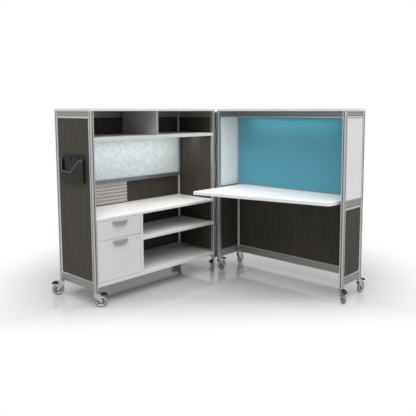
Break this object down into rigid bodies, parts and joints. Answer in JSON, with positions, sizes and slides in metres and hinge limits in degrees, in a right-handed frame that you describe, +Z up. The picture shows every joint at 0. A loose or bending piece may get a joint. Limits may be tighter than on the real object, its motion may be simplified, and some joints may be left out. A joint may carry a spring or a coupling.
{
  "type": "cubicle workstation",
  "caption": "Folding office workstation on braked casters: a storage unit with shelves and drawers hinged to a desk unit with a tapered worktop.",
  "frame": {"origin": "middle of the bounding box's plan, on the floor that the wheels stand on", "axes": "+Z up; +X along the storage unit from its outer end to the hinge end; +Y from the desk unit's far end towards the storage unit, so that the storage unit opens towards -Y and the desk unit towards -X"},
  "size_m": [1.7186, 1.8804, 1.451],
  "materials": {
    "anodised_frame": "satin anodised",
    "woodgrain_laminate": "matt woodgrain",
    "white_laminate": "satin",
    "grey_laminate": "satin",
    "drawer_lacquer": "satin",
    "speckled_fabric": "woven",
    "teal_fabric": "woven",
    "frosted_panel": "frosted",
    "greige_plastic": "matt",
    "black_plastic": "matt",
    "pale_plastic": "matt",
    "grey_steel": "powder coated",
    "black_steel": "powder coated",
    "polished_lock": "polished",
    "polished_fork": "polished",
    "grey_tyre": "matt"
  },
  "bodies": {
    "storage_unit": {"storage_posts": "anodised_frame", "storage_rails": "anodised_frame", "storage_top_cover": "white_laminate", "storage_panels": "woodgrain_laminate", "overhead_shelf": "grey_laminate", "overhead_divider": "grey_laminate", "storage_tack_board": "speckled_fabric", "tool_rail": "anodised_frame", "slat_wall_tile": "greige_plastic", "credenza_top": "white_laminate", "cable_grommet": "pale_plastic", "credenza_base": "grey_laminate", "bay_shelf": "grey_laminate", "pedestal_sides": "grey_laminate", "lock_keeper": "grey_steel", "drawer_runners": "grey_steel", "side_pocket": "black_plastic", "fold_hinge_storage_leaf": "black_steel"},
    "desk_unit": {"desk_posts": "anodised_frame", "desk_rails": "anodised_frame", "desk_top_cover": "white_laminate", "desk_back_panel": "woodgrain_laminate", "desk_tack_board": "teal_fabric", "desk_upper_end_panels": "frosted_panel", "desk_lower_end_panels": "woodgrain_laminate", "desk_worktop": "white_laminate", "worktop_brackets": "grey_steel", "fold_hinge_desk_leaf": "black_steel"},
    "box_drawer": {"box_drawer_front": "drawer_lacquer", "box_drawer_box": "grey_steel", "box_drawer_pull": "anodised_frame"},
    "file_drawer": {"file_drawer_front": "drawer_lacquer", "file_drawer_box": "grey_steel", "file_drawer_pull": "anodised_frame"},
    "lock": {"drawer_lock": "polished_lock", "lock_cam": "grey_steel"},
    "fork_storage_rear_left": {"caster_fork_storage_rear_left": "polished_fork"},
    "wheel_storage_rear_left": {"caster_wheel_storage_rear_left": "grey_tyre"},
    "brake_storage_rear_left": {"caster_brake_storage_rear_left": "black_plastic"},
    "fork_storage_front_left": {"caster_fork_storage_front_left": "polished_fork"},
    "wheel_storage_front_left": {"caster_wheel_storage_front_left": "grey_tyre"},
    "brake_storage_front_left": {"caster_brake_storage_front_left": "black_plastic"},
    "fork_storage_front_right": {"caster_fork_storage_front_right": "polished_fork"},
    "wheel_storage_front_right": {"caster_wheel_storage_front_right": "grey_tyre"},
    "brake_storage_front_right": {"caster_brake_storage_front_right": "black_plastic"},
    "fork_storage_rear_right": {"caster_fork_storage_rear_right": "polished_fork"},
    "wheel_storage_rear_right": {"caster_wheel_storage_rear_right": "grey_tyre"},
    "brake_storage_rear_right": {"caster_brake_storage_rear_right": "black_plastic"},
    "fork_desk_front_hinge": {"caster_fork_desk_front_hinge": "polished_fork"},
    "wheel_desk_front_hinge": {"caster_wheel_desk_front_hinge": "grey_tyre"},
    "brake_desk_front_hinge": {"caster_brake_desk_front_hinge": "black_plastic"},
    "fork_desk_rear_hinge": {"caster_fork_desk_rear_hinge": "polished_fork"},
    "wheel_desk_rear_hinge": {"caster_wheel_desk_rear_hinge": "grey_tyre"},
    "brake_desk_rear_hinge": {"caster_brake_desk_rear_hinge": "black_plastic"},
    "fork_desk_rear_far": {"caster_fork_desk_rear_far": "polished_fork"},
    "wheel_desk_rear_far": {"caster_wheel_desk_rear_far": "grey_tyre"},
    "brake_desk_rear_far": {"caster_brake_desk_rear_far": "black_plastic"},
    "fork_desk_front_far": {"caster_fork_desk_front_far": "polished_fork"},
    "wheel_desk_front_far": {"caster_wheel_desk_front_far": "grey_tyre"},
    "brake_desk_front_far": {"caster_brake_desk_front_far": "black_plastic"}
  },
  "joints": [
    {"name": "fold", "type": "hinge", "parent": "storage_unit", "child": "desk_unit", "pos_m": [0.492, 0.404, 0.7], "axis": [0, 0, 1], "range_deg": [-90, 90]},
    {"name": "box_drawer_slide", "type": "slide", "parent": "storage_unit", "child": "box_drawer", "axis": [0, -1, 0], "range_m": [0, 0.33]},
    {"name": "file_drawer_slide", "type": "slide", "parent": "storage_unit", "child": "file_drawer", "axis": [0, -1, 0], "range_m": [0, 0.33]},
    {"name": "lock_turn", "type": "hinge", "parent": "file_drawer", "child": "lock", "pos_m": [-0.399, 0.408, 0.459], "axis": [0, -1, 0], "range_deg": [0, 90]},
    {"name": "swivel_storage_rear_left", "type": "hinge", "parent": "storage_unit", "child": "fork_storage_rear_left", "pos_m": [-0.778, 0.866, 0.11], "axis": [0, 0, 1], "continuous": true},
    {"name": "roll_storage_rear_left", "type": "hinge", "parent": "fork_storage_rear_left", "child": "wheel_storage_rear_left", "pos_m": [-0.81008, 0.88234, 0.046], "axis": [-0.454, -0.891, 0], "continuous": true},
    {"name": "press_storage_rear_left", "type": "hinge", "parent": "fork_storage_rear_left", "child": "brake_storage_rear_left", "pos_m": [-0.80295, 0.87871, 0.1], "axis": [-0.454, -0.891, 0], "range_deg": [0, 6]},
    {"name": "swivel_storage_front_left", "type": "hinge", "parent": "storage_unit", "child": "fork_storage_front_left", "pos_m": [-0.778, 0.422, 0.11], "axis": [0, 0, 1], "continuous": true},
    {"name": "roll_storage_front_left", "type": "hinge", "parent": "fork_storage_front_left", "child": "wheel_storage_front_left", "pos_m": [-0.75042, 0.39886, 0.046], "axis": [0.6428, 0.766, 0], "continuous": true},
    {"name": "press_storage_front_left", "type": "hinge", "parent": "fork_storage_front_left", "child": "brake_storage_front_left", "pos_m": [-0.75655, 0.404, 0.1], "axis": [0.6428, 0.766, 0], "range_deg": [0, 6]},
    {"name": "swivel_storage_front_right", "type": "hinge", "parent": "storage_unit", "child": "fork_storage_front_right", "pos_m": [0.474, 0.422, 0.11], "axis": [0, 0, 1], "range_deg": [-87, 55]},
    {"name": "roll_storage_front_right", "type": "hinge", "parent": "fork_storage_front_right", "child": "wheel_storage_front_right", "pos_m": [0.44137, 0.40679, 0.046], "axis": [0.4226, -0.9063, 0], "continuous": true},
    {"name": "press_storage_front_right", "type": "hinge", "parent": "fork_storage_front_right", "child": "brake_storage_front_right", "pos_m": [0.44862, 0.41017, 0.1], "axis": [0.4226, -0.9063, 0], "range_deg": [0, 6]},
    {"name": "swivel_storage_rear_right", "type": "hinge", "parent": "storage_unit", "child": "fork_storage_rear_right", "pos_m": [0.474, 0.866, 0.11], "axis": [0, 0, 1], "continuous": true},
    {"name": "roll_storage_rear_right", "type": "hinge", "parent": "fork_storage_rear_right", "child": "wheel_storage_rear_right", "pos_m": [0.45335, 0.89549, 0.046], "axis": [-0.8192, -0.5736, 0], "continuous": true},
    {"name": "press_storage_rear_right", "type": "hinge", "parent": "fork_storage_rear_right", "child": "brake_storage_rear_right", "pos_m": [0.45794, 0.88894, 0.1], "axis": [-0.8192, -0.5736, 0], "range_deg": [0, 6]},
    {"name": "swivel_desk_front_hinge", "type": "hinge", "parent": "desk_unit", "child": "fork_desk_front_hinge", "pos_m": [0.51, 0.386, 0.11], "axis": [0, 0, 1], "range_deg": [-100, 30]},
    {"name": "roll_desk_front_hinge", "type": "hinge", "parent": "fork_desk_front_hinge", "child": "wheel_desk_front_hinge", "pos_m": [0.546, 0.386, 0.046], "axis": [0, 1, 0], "continuous": true},
    {"name": "press_desk_front_hinge", "type": "hinge", "parent": "fork_desk_front_hinge", "child": "brake_desk_front_hinge", "pos_m": [0.538, 0.386, 0.1], "axis": [0, 1, 0], "range_deg": [0, 6]},
    {"name": "swivel_desk_rear_hinge", "type": "hinge", "parent": "desk_unit", "child": "fork_desk_rear_hinge", "pos_m": [0.778, 0.386, 0.11], "axis": [0, 0, 1], "continuous": true},
    {"name": "roll_desk_rear_hinge", "type": "hinge", "parent": "fork_desk_rear_hinge", "child": "wheel_desk_rear_hinge", "pos_m": [0.81345, 0.39225, 0.046], "axis": [-0.1736, 0.9848, 0], "continuous": true},
    {"name": "press_desk_rear_hinge", "type": "hinge", "parent": "fork_desk_rear_hinge", "child": "brake_desk_rear_hinge", "pos_m": [0.80558, 0.39086, 0.1], "axis": [-0.1736, 0.9848, 0], "range_deg": [0, 6]},
    {"name": "swivel_desk_rear_far", "type": "hinge", "parent": "desk_unit", "child": "fork_desk_rear_far", "pos_m": [0.778, -0.866, 0.11], "axis": [0, 0, 1], "continuous": true},
    {"name": "roll_desk_rear_far", "type": "hinge", "parent": "fork_desk_rear_far", "child": "wheel_desk_rear_far", "pos_m": [0.814, -0.866, 0.046], "axis": [0, 1, 0], "continuous": true},
    {"name": "press_desk_rear_far", "type": "hinge", "parent": "fork_desk_rear_far", "child": "brake_desk_rear_far", "pos_m": [0.806, -0.866, 0.1], "axis": [0, 1, 0], "range_deg": [0, 6]},
    {"name": "swivel_desk_front_far", "type": "hinge", "parent": "desk_unit", "child": "fork_desk_front_far", "pos_m": [0.51, -0.866, 0.11], "axis": [0, 0, 1], "continuous": true},
    {"name": "roll_desk_front_far", "type": "hinge", "parent": "fork_desk_front_far", "child": "wheel_desk_front_far", "pos_m": [0.48784, -0.89437, 0.046], "axis": [0.788, -0.6157, 0], "continuous": true},
    {"name": "press_desk_front_far", "type": "hinge", "parent": "fork_desk_front_far", "child": "brake_desk_front_far", "pos_m": [0.49276, -0.88806, 0.1], "axis": [0.788, -0.6157, 0], "range_deg": [0, 6]}
  ]
}
